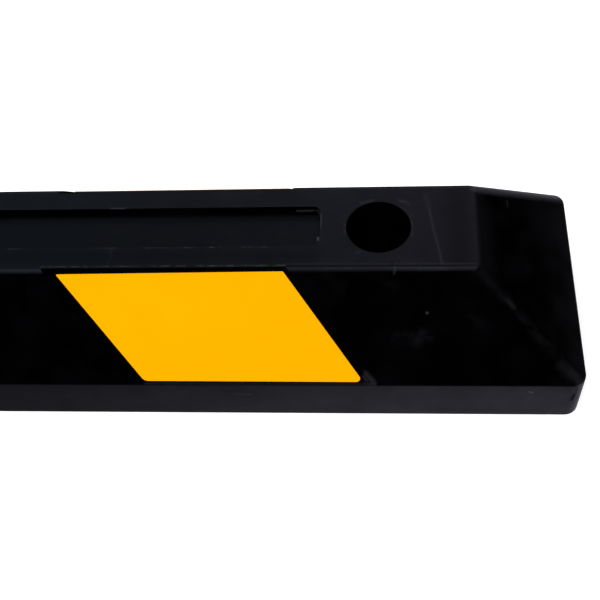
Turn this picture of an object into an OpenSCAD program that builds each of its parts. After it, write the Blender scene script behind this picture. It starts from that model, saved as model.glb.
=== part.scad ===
// Rubber wheel stop: a low moulded block with sloped sides and ends that is bolted down at the head of a
// parking bay. Four yellow marker panels sit in shallow pockets in the two long slopes.
// Millimetres. The origin is on the floor below the middle of the block, X along it and Z up.

/* [Block] */
// Length on the floor
block_len = 915; // [760:5:1220]
// Width on the floor
block_w = 150; // [140:1:180]
// Height above the floor
block_h = 100; // [92:1:115]
// Height of the upright band round the foot
band_h = 37.5; // [30:0.5:42]
// Width of the flat top
top_w = 64; // [56:1:76]
// Length on the floor that each sloped end takes
end_run = 66.5; // [56:0.5:78]

/* [Roundings] */
// Radius along the two long edges of the top
top_side_r = 4.5; // [2:0.5:7]
// Radius across the two ends of the top
top_end_r = 5; // [2:0.5:8]
// Radius where the slopes meet the band
band_r = 3; // [1:0.5:5]
// Radius of the four hips, where side slopes meet end slopes
hip_r = 7; // [2:0.5:8]
// Radius of the four upright corners, seen from above
corner_r = 9; // [4:0.5:14]

/* [Anchor holes] */
// From each end of the block to the middle of its anchor hole
anchor_from_end = 126; // [115:0.5:140]
// Bore for the anchor bolt
anchor_bore_d = 18; // [12:0.5:24]
// Counterbore for the bolt's head, washer and socket
counterbore_d = 39; // [32:0.5:46]
// Depth of the counterbore below the top
counterbore_depth = 60; // [40:1:75]
// Solid rubber from the middle of an anchor hole to the nearest core
anchor_boss_r = 34; // [30:1:40]

/* [Top recess] */
// From each end of the block to the recess in the top
recess_from_end = 161.5; // [155:0.5:220]
// Width of the recess
recess_w = 30.5; // [20:0.5:36]
// How far the recess lies behind the middle of the block
recess_shift = 1.2; // [0:0.1:2]
// Depth of the recess
recess_depth = 7; // [2:0.5:10]
// Lean of the recess walls, in degrees from upright
recess_draft = 10; // [2:1:20]
// Radius of the recess corners
recess_corner_r = 5; // [2:0.5:8]

/* [Marker panels] */
// From each end of the block to the middle of its pockets
pocket_from_end = 230; // [222:0.5:260]
// Length of a panel along the block
panel_len = 138; // [100:1:170]
// Lean of a panel's short edges, in degrees from straight up the slope
panel_lean = 33.6; // [0:0.1:45]
// From the foot of the slope up to the panel
panel_foot_gap = 2.4; // [1.5:0.1:8]
// From the panel up to the sharp top of the slope
panel_head_gap = 1.6; // [1.5:0.1:8]
// Thickness of a panel
panel_t = 1.6; // [1:0.1:3]
// Corner radius of a panel
panel_corner_r = 0.8; // [0.5:0.1:4]
// How far a panel's face lies below the rubber round it
panel_inset = 0.4; // [0:0.1:1]
// Open gap on both sides of a panel that lies in the middle of its pocket
pocket_gap = 4.9; // [3.5:0.1:6]
// How far a panel lies off the middle of its pocket, towards the end of the block
panel_shift = 1.6; // [-3:0.1:3]
// Open gap between a panel and the foot of its pocket
pocket_foot_gap = 1; // [0.3:0.1:1.4]

/* [Underside cores] */
// Depth of the cores above the floor
core_depth = 56; // [30:1:60]
// Thickness of the outer wall at the floor
foot_wall = 16; // [12:1:24]
// Rubber left between the head of a core and a slope, square to the slope
core_skin = 12; // [10:1:18]
// Thickness of the rib along the middle, at the floor
spine_t = 14; // [10:1:24]
// Thickness of the cross ribs, at the floor
rib_t = 12; // [8:1:20]
// Pitch of the cores between the anchor holes, rounded to a whole number of cores
core_pitch = 86; // [60:1:110]
// Lean of the rib walls, in degrees from upright
core_draft = 2.5; // [1:0.5:5]
// Radius of the core corners
core_corner_r = 6; // [3:0.5:8]

/* [Hidden] */
$fn = 64;

rubber_black = "#18191b";
marker_yellow = "#ffb703";

// How far a cut runs past the surface that it opens
past = 5;
// How far a rounding arc stands proud of the sides that it meets, so that it crosses them cleanly
seam = 0.001;

half_len = block_len / 2;
half_w = block_w / 2;
half_top = top_w / 2;

// The slopes
rise = block_h - band_h;
side_run = half_w - half_top;
side_slope = atan2(rise, side_run);
side_slope_len = norm([side_run, rise]);
end_slope = atan2(rise, end_run);
hip_foot = [half_len, half_w, band_h];
hip_head = [half_len - end_run, half_top, block_h];

// The pockets and marker panels, in the slope's own plane: x along the block, y up the slope from its foot
pocket_x = half_len - pocket_from_end;
panel_top = side_slope_len - panel_head_gap;
panel_mid = (panel_foot_gap + panel_top) / 2;
pocket_depth = panel_t + panel_inset;

// The anchor holes and the top recess
anchor_x = half_len - anchor_from_end;
recess_half_len = half_len - recess_from_end;
recess_half_w = recess_w / 2;

// The cores: one row on each side of the middle rib, with a last core beyond each anchor hole
core_taper = core_depth * tan(core_draft);
core_side_head = half_w - (core_depth - band_h) / tan(side_slope) - core_skin / sin(side_slope);
core_end_head = half_len - (core_depth - band_h) / tan(end_slope) - core_skin / sin(end_slope);
core_span = 2 * (anchor_x - anchor_boss_r);
core_count = round((core_span + rib_t) / core_pitch);
core_step = (core_span + rib_t) / core_count;
core_len = core_step - rib_t;

function unit(v) = v / norm(v);

// What rounding a corner takes off: the corner stands at the origin, and one and two are the directions
// of its sides. It reaches past both sides, so that it never shares a face with what it cuts.
module corner_trim(one, two, r) {
    half_angle = acos(unit(one) * unit(two)) / 2;
    centre = unit(unit(one) + unit(two)) * r / sin(half_angle);
    foot = r / tan(half_angle);
    reach = 1.5;
    translate(centre) difference() {
        polygon([
            [0, 0],
            reach * (unit(one) * foot - centre),
            -reach * centre,
            reach * (unit(two) * foot - centre)
        ]);
        circle(r + seam);
    }
}

// A convex outline whose corners have the radii given, 0 for a sharp one
module rounded_outline(points, radii) {
    last = len(points) - 1;
    difference() {
        polygon(points);
        for (i = [0 : last])
            if (radii[i] > 0)
                translate(points[i])
                    corner_trim(
                        points[i == 0 ? last : i - 1] - points[i],
                        points[i == last ? 0 : i + 1] - points[i],
                        radii[i]
                    );
    }
}

// Carries a section drawn in Y and Z along the block
module along_x(length) {
    rotate([90, 0, 90]) linear_extrude(length, center = true) children();
}

// Carries a profile drawn in X and Z across the block
module along_y(length) {
    rotate([90, 0, 0]) linear_extrude(length, center = true) children();
}

// Both halves of something that stands off the middle across X
module both_ends() {
    children();
    mirror([1, 0, 0]) children();
}

// Both halves of something that stands off the middle across Y
module both_sides() {
    children();
    mirror([0, 1, 0]) children();
}

module cross_section() {
    rounded_outline(
        [
            [-half_w, 0], [half_w, 0], [half_w, band_h],
            [half_top, block_h], [-half_top, block_h], [-half_w, band_h]
        ],
        [0, 0, band_r, top_side_r, top_side_r, band_r]
    );
}

module side_profile() {
    rounded_outline(
        [
            [-half_len, 0], [half_len, 0], [half_len, band_h],
            [hip_head.x, block_h], [-hip_head.x, block_h], [-half_len, band_h]
        ],
        [0, 0, band_r, top_end_r, top_end_r, band_r]
    );
}

module plan() {
    rounded_outline(
        [[-half_len, -half_w], [half_len, -half_w], [half_len, half_w], [-half_len, half_w]],
        [corner_r, corner_r, corner_r, corner_r]
    );
}

// What rounding one hip takes off, run along the sloping edge
module hip_trim() {
    side_normal = unit([0, rise, side_run]);
    end_normal = unit([rise, 0, end_run]);
    along = unit(hip_head - hip_foot);
    inward = -unit(side_normal + end_normal);
    across = cross(along, inward);
    half_angle = (180 - acos(side_normal * end_normal)) / 2;
    start = hip_foot - past * along;
    multmatrix([
        [inward.x, across.x, along.x, start.x],
        [inward.y, across.y, along.y, start.y],
        [inward.z, across.z, along.z, start.z]
    ])
        linear_extrude(norm(hip_head - hip_foot) + 2 * past)
            corner_trim(
                [cos(half_angle), sin(half_angle)],
                [cos(half_angle), -sin(half_angle)],
                hip_r
            );
}

// The outer form: section, profile and plan meet in one hipped block
module block() {
    difference() {
        intersection() {
            along_x(block_len + 2 * past) cross_section();
            along_y(block_w + 2 * past) side_profile();
            linear_extrude(block_h + past) plan();
        }
        both_ends() both_sides() hip_trim();
    }
}

// The shallow recess in the top, with leaning walls
module top_recess() {
    floor_z = block_h - recess_depth;
    lean = tan(recess_draft);
    grow = past * lean;
    shrink = recess_depth * lean;
    translate([0, recess_shift, 0]) intersection() {
        along_x(block_len)
            polygon([
                [-recess_half_w + shrink, floor_z], [recess_half_w - shrink, floor_z],
                [recess_half_w + grow, block_h + past], [-recess_half_w - grow, block_h + past]
            ]);
        along_y(block_w)
            polygon([
                [-recess_half_len + shrink, floor_z], [recess_half_len - shrink, floor_z],
                [recess_half_len + grow, block_h + past], [-recess_half_len - grow, block_h + past]
            ]);
        linear_extrude(block_h + 2 * past)
            rounded_outline(
                [
                    [-recess_half_len, -recess_half_w], [recess_half_len, -recess_half_w],
                    [recess_half_len, recess_half_w], [-recess_half_len, recess_half_w]
                ],
                [recess_corner_r, recess_corner_r, recess_corner_r, recess_corner_r]
            );
    }
}

// A bolt bore through the block, with a deep counterbore that hides the bolt's head
module anchor_hole() {
    translate([anchor_x, 0, -past])
        cylinder(d = anchor_bore_d, h = block_h + 2 * past);
    translate([anchor_x, 0, block_h - counterbore_depth])
        cylinder(d = counterbore_d, h = counterbore_depth + past);
}

// One core: from and to are its ends at the floor, head_from and head_to its ends at the top
module core(from, to, head_from, head_to) {
    spine_side = spine_t / 2;
    wall_side = half_w - foot_wall;
    below = [0, -past];
    intersection() {
        along_x(block_len)
            polygon([
                [spine_side, 0] + below, [wall_side, 0] + below, [wall_side, 0],
                [core_side_head, core_depth], [spine_side + core_taper, core_depth], [spine_side, 0]
            ]);
        along_y(block_w)
            polygon([
                [from, 0] + below, [to, 0] + below, [to, 0],
                [head_to, core_depth], [head_from, core_depth], [from, 0]
            ]);
        translate([0, 0, -2 * past])
            linear_extrude(core_depth + 3 * past)
                rounded_outline(
                    [[from, spine_side], [to, spine_side], [to, wall_side], [from, wall_side]],
                    [core_corner_r, core_corner_r, core_corner_r, core_corner_r]
                );
    }
}

// All the cores on one side of the middle rib
module core_row() {
    for (i = [0 : core_count - 1]) {
        from = -core_span / 2 + i * core_step;
        core(from, from + core_len, from + core_taper, from + core_len - core_taper);
    }
    both_ends()
        core(
            anchor_x + anchor_boss_r,
            half_len - foot_wall,
            anchor_x + anchor_boss_r + core_taper,
            core_end_head
        );
}

// Puts what is drawn in the plane of the front slope there, with z out of the slope
module on_front_slope() {
    translate([0, -half_w, band_h]) rotate([side_slope, 0, 0]) children();
}

// A leaning four-sided outline from foot to head up the slope, side_gap wider than a panel on each side
module leaning_outline(foot, head, side_gap) {
    reach = panel_len / 2 + side_gap / cos(panel_lean);
    foot_x = (panel_mid - foot) * tan(panel_lean);
    head_x = (panel_mid - head) * tan(panel_lean);
    r = panel_corner_r;
    rounded_outline(
        [[foot_x - reach, foot], [foot_x + reach, foot], [head_x + reach, head], [head_x - reach, head]],
        [r, r, r, r]
    );
}

// The marker panel of the front slope's right pocket
module panel() {
    on_front_slope()
        translate([pocket_x + panel_shift, 0, -pocket_depth])
            linear_extrude(panel_t) leaning_outline(panel_foot_gap, panel_top, 0);
}

// The front slope's right pocket. Its floor runs out through the top of the block.
module panel_pocket() {
    on_front_slope()
        translate([pocket_x, 0, -pocket_depth])
            linear_extrude(pocket_depth + past)
                leaning_outline(panel_foot_gap - pocket_foot_gap, side_slope_len + past, pocket_gap);
}

module body() {
    color(rubber_black)
        difference() {
            block();
            top_recess();
            both_ends() anchor_hole();
            both_sides() core_row();
            both_ends() both_sides() panel_pocket();
        }
}

module panel_front_right() {
    color(marker_yellow) panel();
}

module panel_front_left() {
    color(marker_yellow) mirror([1, 0, 0]) panel();
}

module panel_rear_right() {
    color(marker_yellow) mirror([0, 1, 0]) panel();
}

module panel_rear_left() {
    color(marker_yellow) mirror([1, 0, 0]) mirror([0, 1, 0]) panel();
}

body();
panel_front_right();
panel_front_left();
panel_rear_right();
panel_rear_left();
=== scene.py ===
import math

import bmesh
import bpy
from mathutils import Matrix, Vector


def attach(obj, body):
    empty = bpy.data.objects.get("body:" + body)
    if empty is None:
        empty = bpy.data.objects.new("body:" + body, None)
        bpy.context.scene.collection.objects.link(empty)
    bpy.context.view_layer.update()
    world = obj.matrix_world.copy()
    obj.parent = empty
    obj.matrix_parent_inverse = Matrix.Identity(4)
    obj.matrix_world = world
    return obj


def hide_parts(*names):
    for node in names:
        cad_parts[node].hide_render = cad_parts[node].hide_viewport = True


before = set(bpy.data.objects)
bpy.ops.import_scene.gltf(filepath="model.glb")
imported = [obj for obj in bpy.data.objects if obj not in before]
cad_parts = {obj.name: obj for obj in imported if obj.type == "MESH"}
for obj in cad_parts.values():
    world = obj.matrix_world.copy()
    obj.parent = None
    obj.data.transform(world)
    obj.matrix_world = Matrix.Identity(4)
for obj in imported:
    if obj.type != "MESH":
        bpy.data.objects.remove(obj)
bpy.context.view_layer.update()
scene = bpy.context.scene
print("frame loaded")

mm = 0.001
metre = 1000  # in mm; a noise's scale is a metre over the size of its grain


def at(*place):
    return Vector(place) * mm


def hexColour(text):
    # sRGB hex to the linear values that shaders take
    parts = [int(text[i:i + 2], 16) / 255 for i in (1, 3, 5)]
    return [c / 12.92 if c <= 0.04045 else ((c + 0.055) / 1.055) ** 2.4 for c in parts] + [1]


def addNode(tree, kind, inputs=None, **settings):
    # one shader node with its settings; an input takes a value, or another node's output to link
    node = tree.nodes.new("ShaderNode" + kind)
    for name, value in settings.items():
        setattr(node, name, value)
    for socket, value in (inputs or {}).items():
        if isinstance(value, bpy.types.NodeSocket):
            tree.links.new(value, node.inputs[socket])
        else:
            node.inputs[socket].default_value = value
    return node


def newMaterial(name):
    material = bpy.data.materials.new(name)
    material.use_nodes = True
    material.node_tree.nodes.clear()
    return material, material.node_tree


def newObject(name, data):
    thing = bpy.data.objects.new(name, data)
    scene.collection.objects.link(thing)
    return thing


# Camera: fitted to the photo's straight edges
camera = {
    "place": (336.555, -377.567, 580.24),  # mm
    "turn": 8.843,  # degrees
    "tilt": 34.337,
    "roll": -7.536,
    "lens": 60.109,  # mm, as is the sensor
    "sensor": 36,
    "clipStart": 10,
}


def makeCamera(c):
    data = bpy.data.cameras.new("camera")
    data.lens = c["lens"]
    data.sensor_width = c["sensor"]
    data.clip_start = c["clipStart"] * mm
    thing = newObject("camera", data)
    thing.matrix_world = (
        Matrix.Translation(at(*c["place"]))
        @ Matrix.Rotation(math.radians(c["turn"]), 4, "Z")
        @ Matrix.Rotation(math.radians(c["tilt"]), 4, "X")
        @ Matrix.Rotation(math.radians(c["roll"]), 4, "Z")
    )
    scene.camera = thing


makeCamera(camera)
print("camera set")


# Moulded crumb rubber: ground tyres pressed in a steel mould. The eye gets a black satin skin that takes the
# studio's blue-grey where it mirrors it and is nearly black elsewhere, with duller patches, a few worn marks and
# painted highlights on its rims, hips and corners.
rubberLook = {
    "colour": "#000000",  # the photo's slopes are as dark as this
    "bloom": "#020205",  # the blue-grey of the paler patches
    "wornAndHighlit": "#3a3a40",  # rubbed edges and smears, and the painted highlights on rims, hips and corners
    "roughness": (0.15, 0.27),  # from the smoothest to the dullest patch
    "specular": (0.65, 0.35),
    "ior": 1.5,
    # size in mm, detail, roughness
    "noises": {
        "bloom": (22, 5, 0.6),
        "crumb": (1.6, 3, 0.6),  # the crumbs' swellings, coarser than the real 0.8 so that they show
        "wave": (34, 2, 0.5),
        "markBreakup": (4.5, 4, 0.65),  # breaks the smears and painted highlights up
    },
    "relief": {"wave": 0.035, "crumb": 0.008},  # heights in mm
    # where in its noise each effect begins and is full
    "paleFrom": (0.4, 0.75),
    "dullFrom": (0.3, 0.7),
    "markBreakupFrom": (0.42, 0.62),
    # the recess's floor was never polished by tyres, and the shine fades at the very foot
    "recessShine": 0.7,
    "recessUp": (99.5, 94),  # mm above the ground, from full shine to this one
    "recessSide": (18, 18.5),  # mm from the block's middle, where the recess's part ends
    "footShine": 0.25,
    "footUp": (0.5, 1.4),
    # each mark: points in mm, how far it reaches to both sides, strength
    # wear marks and painted highlights, both drawn in the lighter colour
    "wearAndPaintedHighlights": [
        # line left by the mould's insert, painted lighter as the highlight on its ridge
        ([(362.2, 14, 100), (364.6, -3, 100), (366.6, -13.5, 100), (368.7, -27.4, 100)], 1.35, 0.12),
        ([(360.5, 24, 100), (362.2, 14, 100)], 3, 0.06),
        # painted highlight beside the top's rounding
        ([(277, -27.4, 100), (345, -27.9, 100)], 1.2, 0.06),
        ([(345, -27.9, 100), (368, -28, 100)], 1.2, 0.08),
        ([(368, -28, 100), (388, -28.2, 100)], 1.3, 0.13),
        ([(341.4, -30.2, 99.5), (340.6, -34, 98)], 1.3, 0.2),  # flash, with a painted highlight down the slope
        ([(318, -19.8, 100), (320.2, -19.2, 100)], 1, 0.13),  # painted highlight on the rim of the anchor hole
        ([(412.9, 36.3, 79.5), (412.6, 31, 79.8)], 1, 0.22),  # end slope
        # band
        ([(423.4, -75, 30), (425.2, -75, 29.2)], 1.4, 0.5),
        ([(240.5, -75, 25.6), (250.5, -75, 25.6)], 1.2, 0.2),
        ([(239, -75, 7.2), (246, -75, 7.4)], 1.3, 0.1),
        ([(391.5, 30.5, 99.5), (458, 73, 37.5)], 6, 0.55),  # painted highlight along the rear hip's rounding
        ([(391.2, 27, 100), (390.6, -27, 100)], 0.9, 0.09),  # painted highlight on the rounding at the end of the top
        ([(360.2, -47.7, 77.2)], 1.6, 0.4),  # light speck
        # painted glints along the front hip
        ([(392, -33, 98), (400, -38.5, 91)], 5, 0.045),
        ([(407.8, -43, 83.5), (411.5, -45.5, 80)], 3, 0.15),
        ([(414, -48.5, 76.5), (419, -51.5, 71.5)], 2.4, 0.05),
        ([(427, -57, 64), (427.5, -57.3, 63.5)], 4, 0.06),
        ([(441, -67, 49), (449, -71.5, 42.5)], 6, 0.07),
        ([(447, -69.5, 44.5), (455, -73.4, 39.8)], 6, 0.11),
        ([(451, -72.8, 40.3), (455, -74.5, 38)], 3.5, 0.14),
        ([(354.5, -58.5, 61.5), (357.5, -55, 66.5)], 5.5, 0.05),  # rubbed patch
        # painted highlights on the corner and foot of the pocket
        ([(323, -70.6, 44), (325, -71.9, 42), (327.4, -73.6, 39.4)], 3.6, 0.2),
        ([(322, -73.6, 38.6), (328.6, -74.3, 38.3)], 2.4, 0.2),
        ([(322.4, -70.4, 40.4), (324.4, -72.3, 37.8)], 3, 0.22),
        ([(185, -74.3, 38.4), (320, -74.3, 38.4)], 1.8, 0.13),
        ([(391, 34, 99.5), (393, -24, 98)], 17, 0.05),  # the end slope paler near the top's end
        # painted highlights on the recess's walls and rim, and its floor paler along the far wall
        ([(295.6, 12, 96.5), (295.6, -9, 96.5)], 4.2, 0.3),
        ([(281, 15.8, 96.5), (290, 15.8, 96.5), (294.8, 14.2, 98),
          (296, 9.6, 99.7), (296, 4, 100), (295.6, -0.6, 100)], 1.3, 0.4),
        ([(294.6, -2.6, 93.4), (294.6, -4.4, 93.4)], 1.5, 1),
        ([(163.3, 16.6, 100), (172.3, 16.6, 100)], 1, 0.3),
        ([(-291, 13, 93.2), (291, 13, 93.2)], 3.6, 0.06),
    ],
    # smears, scuffs and painted highlights, broken up by a noise
    "smearsAndPaintedHighlights": [
        # painted highlights along the near rim of the recess
        ([(104, -14.4, 100), (110.5, -14.2, 100)], 1.1, 0.25),
        ([(158, -14.2, 100), (171, -14.4, 100)], 1.2, 0.2),
        ([(188, -14.3, 100), (212, -14.6, 100)], 1.2, 0.25),
        ([(210, -14.4, 100), (220.3, -14.2, 100)], 1.2, 0.45),
        ([(229.5, -14.3, 100), (235.6, -14.2, 100)], 1.1, 0.5),
        ([(249, -14.4, 100), (264, -14.6, 100)], 1.2, 0.2),
        # painted highlights on the rim of the anchor hole
        ([(321.3, 19.1, 100), (328, 20.2, 100)], 2.2, 0.25),
        ([(343.4, 20.7, 100), (349.5, 17.9, 100)], 2.2, 0.25),
        ([(351.3, 9, 100), (351.5, -8, 100)], 1.6, 0.13),
        ([(310.6, 9, 100), (311, -6, 100)], 1.6, 0.1),
        ([(164.6, -15.6, 100), (168.9, -15.2, 100), (168.2, -25, 100)], 2.4, 0.06),  # between recess and crest
        ([(126.5, -28.4, 100), (276, -28.4, 100)], 0.8, 0.4),  # painted highlight on the crest over the pocket
        # painted highlights along the front hip
        ([(393, -34, 97), (412, -46, 80), (430, -58.5, 62), (456, -74, 39)], 6, 0.06),
        ([(436, -62, 56), (446, -68, 47.5)], 4, 0.09),
        # scuffs on the front slope
        ([(344, -57, 64), (361, -56, 65)], 7, 0.07),
        ([(336, -36, 93), (345, -38, 91)], 6, 0.03),
        ([(300, -34, 97), (310, -39, 90)], 6, 0.02),
        ([(386, -50, 74), (393, -52, 71)], 7, 0.03),
        # painted highlights on the upright corner
        ([(449, -74.6, 32.8), (452.5, -74.4, 32.8)], 0.9, 0.3),
        ([(455, -72.4, 2), (453.9, -73.2, 10), (454.6, -72.6, 16)], 2.2, 0.5),
    ],
    "dull": [
        # beside the top's rounding, and the flash
        ([(277, -29.1, 100), (390, -29.6, 100)], 0.9, 0.6),
        ([(236.9, -14.2, 100), (246.7, -14.2, 100)], 0.8, 0.5),
        ([(339.5, -27, 100), (339.6, -31.5, 99.4)], 1, 0.5),
        # nick in the upright corner
        ([(450.4, -74.8, 20), (451.2, -74.6, 27)], 2.8, 0.95),
        ([(451.8, -74.4, 29), (450.9, -74.7, 36.5)], 1.2, 0.7),
        ([(-291, 15.2, 93.2), (291, 15.2, 93.2)], 1.6, 0.75),  # foot of the recess's far wall
        # crest
        ([(389.8, -31, 99.2), (391.5, -30.5, 99)], 2.6, 0.9),
        ([(268, -31.5, 99), (338, -31.5, 99)], 3.2, 0.45),
        ([(338, -31.5, 99), (352, -31.5, 99)], 3.2, 0.3),
        ([(384, 30, 100), (384, -30, 100)], 22, 0.38),  # top beside the end
        ([(-296, -21, 100), (290, -21, 100)], 12, 0.3),  # between recess and crest
    ],
    "speck": 0.01,  # mm, the run of a mark that has one point
}


def nearMarks(tree, place, marks, speck):
    # how strongly a point belongs to the marks: full on their lines, nothing beyond their reach
    total = 0
    for points, reach, strength in marks:
        points = [at(*p) for p in points]
        if len(points) == 1:
            points.append(points[0] + at(speck, 0, 0))
        away = None
        for start, end in zip(points, points[1:]):
            run = end - start
            offset = addNode(tree, "VectorMath", {0: place, 1: start}, operation="SUBTRACT").outputs[0]
            along = addNode(tree, "VectorMath", {
                0: offset, 1: run / run.length_squared,
            }, operation="DOT_PRODUCT").outputs["Value"]
            part = addNode(tree, "Clamp", {0: along}).outputs[0]
            nearest = addNode(tree, "VectorMath", {0: run, "Scale": part}, operation="SCALE").outputs[0]
            gap = addNode(tree, "VectorMath", {0: offset, 1: nearest}, operation="DISTANCE").outputs["Value"]
            if away is None:
                away = gap
            else:
                away = addNode(tree, "Math", {0: away, 1: gap}, operation="MINIMUM").outputs[0]
        here = addNode(tree, "MapRange", {
            "Value": away, "From Min": 0, "From Max": reach * mm, "To Min": strength, "To Max": 0,
        }, interpolation_type="SMOOTHSTEP").outputs[0]
        total = addNode(tree, "Math", {0: here, 1: total}, operation="MAXIMUM").outputs[0]
    return total


def makeRubber(r):
    material, tree = newMaterial("moulded crumb rubber")
    place = addNode(tree, "TexCoord").outputs["Object"]
    noises = {}
    for name, (size, detail, rough) in r["noises"].items():
        noises[name] = addNode(tree, "TexNoise", {
            "Vector": place, "Scale": metre / size, "Detail": detail, "Roughness": rough,
        }).outputs["Fac"]

    # the smears and their painted highlights are broken up; the wear lines and theirs stay whole
    broken = addNode(tree, "MapRange", {
        "Value": noises["markBreakup"], "From Min": r["markBreakupFrom"][0], "From Max": r["markBreakupFrom"][1],
    }).outputs[0]
    brokenSmearsAndHighlights = addNode(tree, "Math", {
        0: nearMarks(tree, place, r["smearsAndPaintedHighlights"], r["speck"]), 1: broken,
    }, operation="MULTIPLY").outputs[0]
    wornAndHighlit = addNode(tree, "Math", {
        0: brokenSmearsAndHighlights, 1: nearMarks(tree, place, r["wearAndPaintedHighlights"], r["speck"]),
    }, operation="MAXIMUM").outputs[0]

    # the skin pales and dulls in patches
    pale = addNode(tree, "MapRange", {
        "Value": noises["bloom"], "From Min": r["paleFrom"][0], "From Max": r["paleFrom"][1],
    }).outputs[0]
    skin = addNode(tree, "Mix", {
        0: pale, 6: hexColour(r["colour"]), 7: hexColour(r["bloom"]),
    }, data_type="RGBA").outputs[2]
    # the lighter colour paints wear and, on rims, hips and corners, painted highlights
    colour = addNode(tree, "Mix", {0: wornAndHighlit, 6: skin, 7: hexColour(r["wornAndHighlit"])}, data_type="RGBA").outputs[2]
    roughness, bright = [
        addNode(tree, "MapRange", {
            "Value": noises["bloom"], "From Min": r["dullFrom"][0], "From Max": r["dullFrom"][1],
            "To Min": smooth, "To Max": dull,
        }).outputs[0]
        for smooth, dull in (r["roughness"], r["specular"])
    ]

    # what the dull marks, the recess and the foot leave of the shine
    shade = nearMarks(tree, place, r["dull"], r["speck"])
    left = addNode(tree, "Math", {0: 1, 1: shade}, operation="SUBTRACT").outputs[0]
    apart = addNode(tree, "SeparateXYZ", {0: place})
    deep = addNode(tree, "MapRange", {
        "Value": apart.outputs[2], "From Min": r["recessUp"][0] * mm, "From Max": r["recessUp"][1] * mm,
        "To Min": 1, "To Max": r["recessShine"],
    }).outputs[0]
    beside = addNode(tree, "Math", {0: apart.outputs[1]}, operation="ABSOLUTE").outputs[0]
    floored = addNode(tree, "MapRange", {
        "Value": beside, "From Min": r["recessSide"][0] * mm, "From Max": r["recessSide"][1] * mm,
        "To Min": deep, "To Max": 1,
    }).outputs[0]
    footed = addNode(tree, "MapRange", {
        "Value": apart.outputs[2], "From Min": r["footUp"][0] * mm, "From Max": r["footUp"][1] * mm,
        "To Min": r["footShine"], "To Max": floored,
    }).outputs[0]
    kept = addNode(tree, "Math", {0: left, 1: footed}, operation="MULTIPLY").outputs[0]
    specular = addNode(tree, "Math", {0: bright, 1: kept}, operation="MULTIPLY").outputs[0]

    # heights in mm, summed for one relief
    height = 0
    for name, tall in r["relief"].items():
        height = addNode(tree, "Math", {0: noises[name], 1: tall, 2: height}, operation="MULTIPLY_ADD").outputs[0]
    relief = addNode(tree, "Bump", {"Height": height, "Distance": mm, "Strength": 1})
    shader = addNode(tree, "BsdfPrincipled", {
        "Base Color": colour, "Roughness": roughness, "IOR": r["ior"],
        "Specular IOR Level": specular, "Normal": relief.outputs[0],
    })
    addNode(tree, "OutputMaterial", {"Surface": shader.outputs[0]})
    return material


# Vinyl film, calendered and glued on a thin plate: a flat, saturated signal yellow with no gloss to speak of
filmLook = {
    "colour": "#dd9601",
    "shade": "#da9200",
    "roughness": 0.5,
    "gloss": 0,  # none: the photo's yellow holds no white
    "ior": 1.5,
    "tone": 30,  # mm, drifts of the colour
    "toneDetail": 3,
    "peel": 1.3,  # mm, the faint orange peel of the rolled film
    "peelDetail": 2,
    "peelHeight": 0.004,
}


def makeFilm(f):
    material, tree = newMaterial("yellow vinyl film")
    place = addNode(tree, "TexCoord").outputs["Object"]
    tone = addNode(tree, "TexNoise", {"Vector": place, "Scale": metre / f["tone"], "Detail": f["toneDetail"]})
    peel = addNode(tree, "TexNoise", {"Vector": place, "Scale": metre / f["peel"], "Detail": f["peelDetail"]})
    colour = addNode(tree, "Mix", {
        0: tone.outputs["Fac"], 6: hexColour(f["colour"]), 7: hexColour(f["shade"]),
    }, data_type="RGBA")
    relief = addNode(tree, "Bump", {
        "Height": peel.outputs["Fac"], "Distance": f["peelHeight"] * mm, "Strength": 1,
    })
    shader = addNode(tree, "BsdfPrincipled", {
        "Base Color": colour.outputs[2], "Roughness": f["roughness"], "IOR": f["ior"],
        "Specular IOR Level": f["gloss"], "Normal": relief.outputs[0],
    })
    addNode(tree, "OutputMaterial", {"Surface": shader.outputs[0]})
    return material


# Black ABS, injection moulded, as the marker's backing: even, dark and slightly rough
backingLook = {
    "colour": "#040404",
    "roughness": 0.55,
    "ior": 1.53,
    "grain": 1.2,  # mm
    "grainDetail": 3,
    "grainHeight": 0.006,
}


def makeBacking(b):
    material, tree = newMaterial("black ABS backing")
    place = addNode(tree, "TexCoord").outputs["Object"]
    grain = addNode(tree, "TexNoise", {"Vector": place, "Scale": metre / b["grain"], "Detail": b["grainDetail"]})
    relief = addNode(tree, "Bump", {
        "Height": grain.outputs["Fac"], "Distance": b["grainHeight"] * mm, "Strength": 1,
    })
    shader = addNode(tree, "BsdfPrincipled", {
        "Base Color": hexColour(b["colour"]), "Roughness": b["roughness"], "IOR": b["ior"],
        "Normal": relief.outputs[0],
    })
    addNode(tree, "OutputMaterial", {"Surface": shader.outputs[0]})
    return material


rubber = makeRubber(rubberLook)
film = makeFilm(filmLook)
backing = makeBacking(backingLook)
print("materials made")


# Mesh work: lengths in mm, angles in degrees
meshWork = {
    "merge": 0.002,  # points closer than this become one
    "flat": 0.05,  # faces that meet at less become one
    "edge": 30,  # the least angle of an edge that can be rounded
    "same": 0.01,  # places this close count as the same
}


def cleanMesh(bm):
    bmesh.ops.remove_doubles(bm, verts=bm.verts, dist=meshWork["merge"] * mm)
    bmesh.ops.dissolve_limit(bm, angle_limit=math.radians(meshWork["flat"]), verts=bm.verts, edges=bm.edges)


def softCorners(points, radii, steps):
    # a convex outline with every corner turned into an arc, each of its own radius
    outline = []
    for i, (corner, radius) in enumerate(zip(points, radii)):
        corner = Vector(corner)
        before = (Vector(points[i - 1]) - corner).normalized()
        after = (Vector(points[(i + 1) % len(points)]) - corner).normalized()
        half = before.angle(after) / 2
        middle = corner + (before + after).normalized() * radius / math.sin(half)
        first = corner + before * radius / math.tan(half) - middle
        last = corner + after * radius / math.tan(half) - middle
        outline += [middle + first.slerp(last, k / steps) * radius for k in range(steps + 1)]
    return outline


def box(left, right, near, far):
    return [(left, near), (right, near), (right, far), (left, far)]


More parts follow.
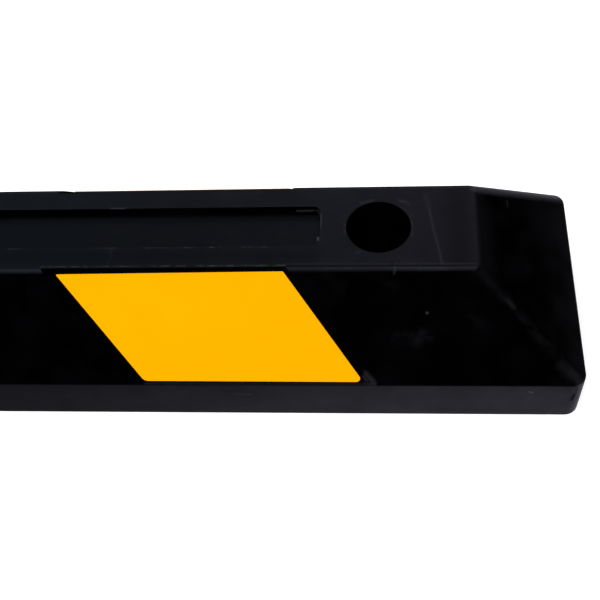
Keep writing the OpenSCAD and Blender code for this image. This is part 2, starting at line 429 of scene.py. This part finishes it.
def level(outline, z):
    return [(x, y, z) for x, y in outline]


def loft(bm, rings):
    # a closed form through rings of points in mm, all with the same count; gives its last ring's points
    rows = [[bm.verts.new(at(*p)) for p in ring] for ring in rings]
    for low, high in zip(rows, rows[1:]):
        for k in range(len(low)):
            bm.faces.new((low[k - 1], low[k], high[k], high[k - 1]))
    bm.faces.new(rows[0])
    bm.faces.new(rows[-1])
    return rows[-1]


def bakedMesh(thing):
    # the mesh that the object's modifiers give; the object itself goes
    data = bpy.data.meshes.new_from_object(thing.evaluated_get(bpy.context.evaluated_depsgraph_get()))
    bpy.data.objects.remove(thing)
    return data


def isEdge(edge, angle):
    return len(edge.link_faces) == 2 and edge.calc_face_angle() > math.radians(angle)


def bevelEdges(bm, edges, radius, steps):
    bmesh.ops.bevel(
        bm, geom=edges, offset=radius * mm, offset_type="OFFSET", segments=steps, profile=0.5,
        affect="EDGES", clamp_overlap=True,
    )


def roundEdges(bm, radius, steps, choose):
    # rounds the sharp edges whose middle, in mm, passes the choice
    chosen = []
    for edge in bm.edges:
        if isEdge(edge, meshWork["edge"]):
            middle = (edge.verts[0].co + edge.verts[1].co) / 2 / mm
            if choose(middle, edge):
                chosen.append(edge)
    bevelEdges(bm, chosen, radius, steps)
    return len(chosen)


def finishMesh(bm, name, materials, sharp):
    # smooth shading that breaks at edges sharper than the given angle
    data = bpy.data.meshes.new(name)
    for face in bm.faces:
        face.smooth = True
    for edge in bm.edges:
        edge.smooth = not isEdge(edge, sharp)
    bm.to_mesh(data)
    bm.free()
    for material in materials:
        data.materials.append(material)
    thing = newObject(name, data)
    even = thing.modifiers.new("even shading", "WEIGHTED_NORMAL")
    even.keep_sharp = True
    even.weight = 100
    return thing


# The moulded block, in mm: the same form as the solid, with the fine roundings that a mould leaves
block = {
    "half": (457.5, 75, 100),
    "band": 37.5,
    "topHalf": (391, 32),
    "rounds": {"corner": 9, "band": 3, "hip": 7, "side": 4.5, "end": 5},
    "roundSteps": 8,
    "slope": {"up": (0, 0.56681, 0.82385), "out": (0, -0.82385, 0.56681)},  # directions of the front slope
    "past": 5,  # how far what is cut out reaches past the faces that it opens
    "recess": {
        "half": 296, "near": -14.05, "far": 16.45, "floor": 93, "lean": 10,
        "corner": 5, "cornerSteps": 8, "foot": 0.3, "footSteps": 4,
    },
    "hole": {"x": 331.5, "bore": 9, "head": 19.5, "shoulder": 40, "steps": 96},
    "cores": {
        "count": 7, "span": 297.5, "step": 86.714, "long": 74.714, "taper": 2.445,
        "side": (7, 59), "sideHead": (9.445, 47.7), "last": (365.5, 441.5), "lastHead": (367.945, 420.3),
        "head": 56, "corner": 6, "cornerHead": 3.6, "cornerSteps": 6,
    },
    "pocket": {
        "x": 227.5, "long": 138, "lean": 33.6, "gap": 4.9, "foot": 1.4, "middle": 38.33, "head": 81,
        "deep": 2, "corner": 0.8, "cornerSteps": 4,
    },
    # fine roundings of the rims: radius and steps
    "rims": {
        "crest": (0.6, 3),  # where a pocket's floor runs out through the top
        "hole": (0.4, 3),
        "recess": (0.3, 3),
        "pocket": (0.15, 2),
        "foot": (0.6, 3),
    },
    # where those rims are looked for
    "topFrom": 99.9,
    "crestFrom": (28, 30),  # from the block's middle
    "rimWithin": 0.5,
    "pocketFrom": (39, 95),  # above the ground
    "pocketWithin": 0.05,  # of the slope
    "footWithin": 10,  # of the outline
    "sharp": 35,  # degrees from which the shading breaks
}


def onSlope(b, x, up, out):
    # a point of the front slope's own plane: along the block, up the slope from its foot, and out of it
    s = b["slope"]
    y = -b["half"][1] + up * s["up"][1] + out * s["out"][1]
    return (x, y, b["band"] + up * s["up"][2] + out * s["out"][2])


def makeShell(b):
    # the hipped outer form: twelve corners, then one bevel with a width for each edge
    bm = bmesh.new()
    hx, hy, hz = b["half"]
    tx, ty = b["topHalf"]
    ground = box(-hx, hx, -hy, hy)
    loft(bm, [level(ground, 0), level(ground, b["band"]), level(box(-tx, tx, -ty, ty), hz)])
    bmesh.ops.recalc_face_normals(bm, faces=bm.faces)
    widths = []
    for edge in bm.edges:
        one, two = (v.co / mm for v in edge.verts)
        run = two - one
        if one.z != two.z:
            kind = "corner" if abs(run.x) < meshWork["same"] else "hip"
        elif one.z < meshWork["same"]:
            kind = "foot"
        elif one.z < hz - meshWork["same"]:
            kind = "band"
        else:
            kind = "side" if abs(run.x) > abs(run.y) else "end"
        widths.append(b["rounds"].get(kind, 0) * math.tan(edge.calc_face_angle() / 2))
    data = bpy.data.meshes.new("shell")
    bm.to_mesh(data)
    bm.free()
    weights = data.attributes.new("bevel_weight_edge", "FLOAT", "EDGE")
    for i, width in enumerate(widths):
        weights.data[i].value = width / max(widths)
    thing = newObject("shell", data)
    bevel = thing.modifiers.new("roundings", "BEVEL")
    bevel.limit_method = "WEIGHT"
    bevel.offset_type = "OFFSET"
    bevel.width = max(widths) * mm
    bevel.segments = b["roundSteps"]
    return thing


def cutRecess(bm, b):
    # the floor's rounded foot, then the leaning walls up past the top
    r = b["recess"]
    slope = math.tan(math.radians(r["lean"]))
    deep = b["half"][2] - r["floor"]
    steps = []
    for i in range(r["footSteps"] + 1):
        turn = i / r["footSteps"] * math.pi / 2
        up = r["foot"] * (1 - math.cos(turn))
        steps.append((r["floor"] + up, (deep - up) * slope + r["foot"] * (1 - math.sin(turn))))
    steps.append((b["half"][2] + b["past"], -b["past"] * slope))
    rings = []
    for z, inset in steps:
        outline = box(-r["half"] + inset, r["half"] - inset, r["near"] + inset, r["far"] - inset)
        rings.append(level(softCorners(outline, [r["corner"] - inset] * 4, r["cornerSteps"]), z))
    loft(bm, rings)


def cutHoles(bm, b):
    # a bore and a wider head above its shoulder, at both ends
    h = b["hole"]
    turns = [2 * math.pi * i / h["steps"] for i in range(h["steps"])]
    steps = [
        (-b["past"], h["bore"]), (h["shoulder"], h["bore"]),
        (h["shoulder"], h["head"]), (b["half"][2] + b["past"], h["head"]),
    ]
    for end in (-1, 1):
        loft(bm, [[(end * h["x"] + r * math.cos(a), r * math.sin(a), z) for a in turns] for z, r in steps])


def cutCores(bm, b):
    # drafted hollows in two rows, open at the ground: a row of equal ones between the holes, then one at each end
    c = b["cores"]
    spans = []
    for i in range(c["count"]):
        low = -c["span"] + i * c["step"]
        high = low + c["long"]
        spans.append((low, high, low + c["taper"], high - c["taper"]))
    spans.append(c["last"] + c["lastHead"])
    spans.append(tuple(-x for x in c["last"][::-1] + c["lastHead"][::-1]))
    for low, high, headLow, headHigh in spans:
        foot = softCorners(box(low, high, *c["side"]), [c["corner"]] * 4, c["cornerSteps"])
        head = softCorners(box(headLow, headHigh, *c["sideHead"]), [c["cornerHead"]] * 4, c["cornerSteps"])
        for side in (-1, 1):
            rings = ((foot, -b["past"]), (foot, 0), (head, c["head"]))
            loft(bm, [[(x, side * y, z) for x, y in ring] for ring, z in rings])


def cutPockets(bm, b):
    # a leaning form in each slope, wider than the panel and open at its head
    p = b["pocket"]
    lean = math.radians(p["lean"])
    reach = p["long"] / 2 + p["gap"] / math.cos(lean)
    low, high = p["foot"], p["head"]
    foot, head = (p["x"] + (p["middle"] - up) * math.tan(lean) for up in (low, high))
    corners = [(foot - reach, low), (foot + reach, low), (head + reach, high), (head - reach, high)]
    outline = softCorners(corners, [p["corner"]] * 4, p["cornerSteps"])
    rings = [[onSlope(b, x, up, out) for x, up in outline] for out in (-p["deep"], b["past"])]
    for end in (-1, 1):
        for side in (-1, 1):
            loft(bm, [[(end * x, side * y, z) for x, y, z in ring] for ring in rings])


def makeCutters(b):
    # everything that is taken out of the block, in one mesh
    bm = bmesh.new()
    for cut in (cutRecess, cutHoles, cutCores, cutPockets):
        cut(bm, b)
    bmesh.ops.recalc_face_normals(bm, faces=bm.faces)
    data = bpy.data.meshes.new("cutters")
    bm.to_mesh(data)
    bm.free()
    return newObject("cutters", data)


def makeBlock(b):
    shell = makeShell(b)
    cutters = makeCutters(b)
    cut = shell.modifiers.new("cut", "BOOLEAN")
    cut.operation = "DIFFERENCE"
    cut.solver = "EXACT"
    cut.object = cutters
    data = bakedMesh(shell)
    bpy.data.objects.remove(cutters)
    bm = bmesh.new()
    bm.from_mesh(data)
    cleanMesh(bm)
    same = meshWork["same"]

    def crest(p, edge):
        low, high = b["crestFrom"]
        alongBlock = abs(edge.verts[0].co.y - edge.verts[1].co.y) < same * mm
        return p.z > b["topFrom"] and low < abs(p.y) < high and alongBlock

    def holeRim(p, edge):
        away = math.hypot(abs(p.x) - b["hole"]["x"], p.y) - b["hole"]["head"]
        return p.z > b["topFrom"] and abs(away) < b["rimWithin"]

    def recessRim(p, edge):
        r, within = b["recess"], b["rimWithin"]
        inside = abs(p.x) < r["half"] + within and r["near"] - within < p.y < r["far"] + within
        return p.z > b["topFrom"] and inside

    def pocketRim(p, edge):
        # the rims where a pocket's side walls meet the slope
        up, out = b["slope"]["out"][2], -b["slope"]["out"][1]
        flat = any(abs(f.normal.z - up) < same and abs(abs(f.normal.y) - out) < same for f in edge.link_faces)
        fromSlope = abs(p.y) * out + p.z * up - (b["half"][1] * out + b["band"] * up)
        low, high = b["pocketFrom"]
        return flat and abs(fromSlope) < b["pocketWithin"] and low < p.z < high

    def foot(p, edge):
        hx, hy, hz = b["half"]
        return p.z < same and (abs(p.x) > hx - b["footWithin"] or abs(p.y) > hy - b["footWithin"])

    choices = {"crest": crest, "hole": holeRim, "recess": recessRim, "pocket": pocketRim, "foot": foot}
    rounded = [roundEdges(bm, *b["rims"][name], choose) for name, choose in choices.items()]
    openEdges = sum(len(e.link_faces) != 2 for e in bm.edges)
    print("rims rounded:", rounded, "faces:", len(bm.faces), "open edges:", openEdges)
    thing = finishMesh(bm, "mouldedBlock", [rubber], b["sharp"])
    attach(thing, "root")
    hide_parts("body")


makeBlock(block)
print("block made")


# Marker panels: a black plate with a thin yellow film over its face, both given as the front right one
panel = {
    # mm along the block and up the slope: not quite a parallelogram, and the film is rounder at its foot
    "corners": [(184.3, 2.4), (321.75, 2.07), (274.85, 74.9), (136, 73.85)],
    "plateRounds": (0.8, 0.8, 0.8, 0.8),
    "filmRounds": (5, 2.4, 0.9, 0.55),
    "cornerSteps": 6,
    "floor": -2,  # mm out of the slope: on the pocket's floor
    "face": -0.4,
    "filmThickness": 0.15,
    "edgeRound": 0.12,
    "edgeSteps": 2,
    "sharp": 40,  # degrees from which the shading breaks
}


def makePanel(name, p):
    end = 1 if name.endswith("right") else -1
    side = 1 if "front" in name else -1
    bm = bmesh.new()

    def layer(rounds, low, high):
        outline = softCorners(p["corners"], rounds, p["cornerSteps"])
        rings = [[onSlope(block, x, up, out) for x, up in outline] for out in (low, high)]
        return loft(bm, [[(end * x, side * y, z) for x, y, z in ring] for ring in rings])

    seam = p["face"] - p["filmThickness"]
    layer(p["plateRounds"], p["floor"], seam)
    for face in bm.faces:
        face.material_index = 1
    top = layer(p["filmRounds"], seam, p["face"])
    bmesh.ops.recalc_face_normals(bm, faces=bm.faces)
    rim = [bm.edges.get((top[k - 1], top[k])) for k in range(len(top))]
    bevelEdges(bm, rim, p["edgeRound"], p["edgeSteps"])
    thing = finishMesh(bm, name + "Dressed", [film, backing], p["sharp"])
    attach(thing, "root")
    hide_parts(name)


for side in ("front_right", "front_left", "rear_right", "rear_left"):
    makePanel("panel_" + side, panel)
print("panels made")


# Studio: a white table under a wide soft light, in a room that is dark in the shine
studio = {
    "tableSide": 8000,  # mm
    "tableColour": "#f7f7f7",
    "tableLift": 0.27,  # the camera sees it brighter still, so that hardly a shadow is left, as in the photo
    "tableTint": "#e0ddf4",  # in the shine
    # brightness of the table in the rubber's shine: mm across the block, and what it is multiplied with along it
    "tableAcross": [
        (-400, 0), (-190, 0.02), (-125, 0.1), (-100, 0.275), (-80, 0.345),
        (75, 0.36), (150, 0.34), (230, 0.28), (300, 0.08), (400, 0),
    ],
    "tableAlong": [(-400, 0.3), (110, 0.4), (350, 0.9), (530, 0.9), (590, 0.3), (660, 0.05), (900, 0)],
    # brightness of the sky in the shine by its angle towards the rear from straight up
    "skyAcross": [
        (-110, 0.004), (-75, 0.004), (-55, 0.012), (-42, 0.08), (-28, 0.3), (-12, 0.58), (2, 0.7), (15, 0.6),
        (25, 0.4), (32, 0.26), (36.5, 0.21), (40, 0.27), (46, 0.34), (62, 0.4), (80, 0.2), (90, 0.05),
    ],
    # and by the direction's part along the block
    "skyAlong": [(-1, 0.4), (-0.5, 0.8), (-0.24, 0.88), (0, 1.12), (0.3, 1.2), (0.5, 0.5), (0.7, 0.06), (1, 0.02)],
    "skyTints": ("#cfe6ff", "#e2dfff"),  # in the shine, to the left and to the right
    "tintFrom": (-0.35, 0.1),  # where along the block the one gives way to the other
    "skyLight": 1.2,  # light on matt surfaces
    # a soft light that the shine doesn't show: mm, and watts
    "key": {"place": (-900, -1100, 1700), "aim": (230, 0, 60), "size": (1200, 1200), "power": 26},
}


def curve(tree, source, stops):
    # a value read off a straight-line curve through the stops
    low, high = stops[0][0], stops[-1][0]
    spread = addNode(tree, "MapRange", {"Value": source, "From Min": low, "From Max": high})
    ramp = addNode(tree, "ValToRGB", {0: spread.outputs[0]})
    elements = ramp.color_ramp.elements
    for place, value in stops[1:-1]:
        elements.new((place - low) / (high - low))
    for element, (place, value) in zip(elements, stops):
        element.color = (value, value, value, 1)
    return ramp.outputs[0]


def tinted(tree, colour, across, along):
    # a colour dimmed by the product of the two levels
    dimmed = addNode(tree, "Math", {0: across, 1: along}, operation="MULTIPLY").outputs[0]
    return addNode(tree, "VectorMath", {0: colour, "Scale": dimmed}, operation="SCALE").outputs[0]


def makeTable(s):
    half = s["tableSide"] * mm / 2
    data = bpy.data.meshes.new("table")
    data.from_pydata(level(box(-half, half, -half, half), 0), [], [(0, 1, 2, 3)])
    material, tree = newMaterial("white table")
    path = addNode(tree, "LightPath")
    place = addNode(tree, "VectorMath", {
        0: addNode(tree, "TexCoord").outputs["Object"], "Scale": metre,
    }, operation="SCALE")
    apart = addNode(tree, "SeparateXYZ", {0: place.outputs[0]})
    across, along = curve(tree, apart.outputs[1], s["tableAcross"]), curve(tree, apart.outputs[0], s["tableAlong"])
    matt = addNode(tree, "BsdfDiffuse", {"Color": hexColour(s["tableColour"])})
    lift = addNode(tree, "Math", {0: path.outputs["Is Camera Ray"], 1: s["tableLift"]}, operation="MULTIPLY")
    lit = addNode(tree, "Emission", {"Strength": lift.outputs[0]})
    seen = addNode(tree, "AddShader", {0: matt.outputs[0], 1: lit.outputs[0]})
    tint = hexColour(s["tableTint"])[:3]
    shine = addNode(tree, "Emission", {"Color": tinted(tree, tint, across, along), "Strength": 1})
    mixed = addNode(tree, "MixShader", {0: path.outputs["Is Glossy Ray"], 1: seen.outputs[0], 2: shine.outputs[0]})
    addNode(tree, "OutputMaterial", {"Surface": mixed.outputs[0]})
    data.materials.append(material)
    newObject("table", data)


def makeSky(s):
    world = bpy.data.worlds.new("studio")
    scene.world = world
    world.use_nodes = True
    world.cycles.sampling_method = "NONE"  # the shine's sky and the matt surfaces' sky stay apart
    tree = world.node_tree
    tree.nodes.clear()
    path = addNode(tree, "LightPath")
    direction = addNode(tree, "SeparateXYZ", {0: addNode(tree, "TexCoord").outputs["Generated"]})
    lean = addNode(tree, "Math", {0: direction.outputs[1], 1: direction.outputs[2]}, operation="ARCTAN2")
    angle = addNode(tree, "Math", {0: lean.outputs[0]}, operation="DEGREES").outputs[0]
    across, along = curve(tree, angle, s["skyAcross"]), curve(tree, direction.outputs[0], s["skyAlong"])
    side = addNode(tree, "MapRange", {
        "Value": direction.outputs[0], "From Min": s["tintFrom"][0], "From Max": s["tintFrom"][1],
    }).outputs[0]
    left, right = (hexColour(colour) for colour in s["skyTints"])
    tint = addNode(tree, "Mix", {0: side, 6: left, 7: right}, data_type="RGBA").outputs[2]
    white = hexColour("#ffffff")
    seen = addNode(tree, "Background", {0: white, 1: 1})
    matt = addNode(tree, "Background", {0: white, 1: s["skyLight"]})
    shine = addNode(tree, "Background", {0: tinted(tree, tint, across, along), 1: 1})
    inside = addNode(tree, "MixShader", {0: path.outputs["Is Glossy Ray"], 1: matt.outputs[0], 2: shine.outputs[0]})
    mixed = addNode(tree, "MixShader", {0: path.outputs["Is Camera Ray"], 1: inside.outputs[0], 2: seen.outputs[0]})
    addNode(tree, "OutputWorld", {"Surface": mixed.outputs[0]})


def makeKey(k):
    data = bpy.data.lights.new("key", "AREA")
    data.shape = "RECTANGLE"
    data.size, data.size_y = (side * mm for side in k["size"])
    data.energy = k["power"]
    thing = newObject("key", data)
    thing.location = at(*k["place"])
    thing.rotation_euler = (at(*k["aim"]) - thing.location).to_track_quat("-Z", "Y").to_euler()
    thing.visible_glossy = False


makeTable(studio)
makeSky(studio)
makeKey(studio["key"])
scene.view_settings.view_transform = "Standard"
print("studio set")
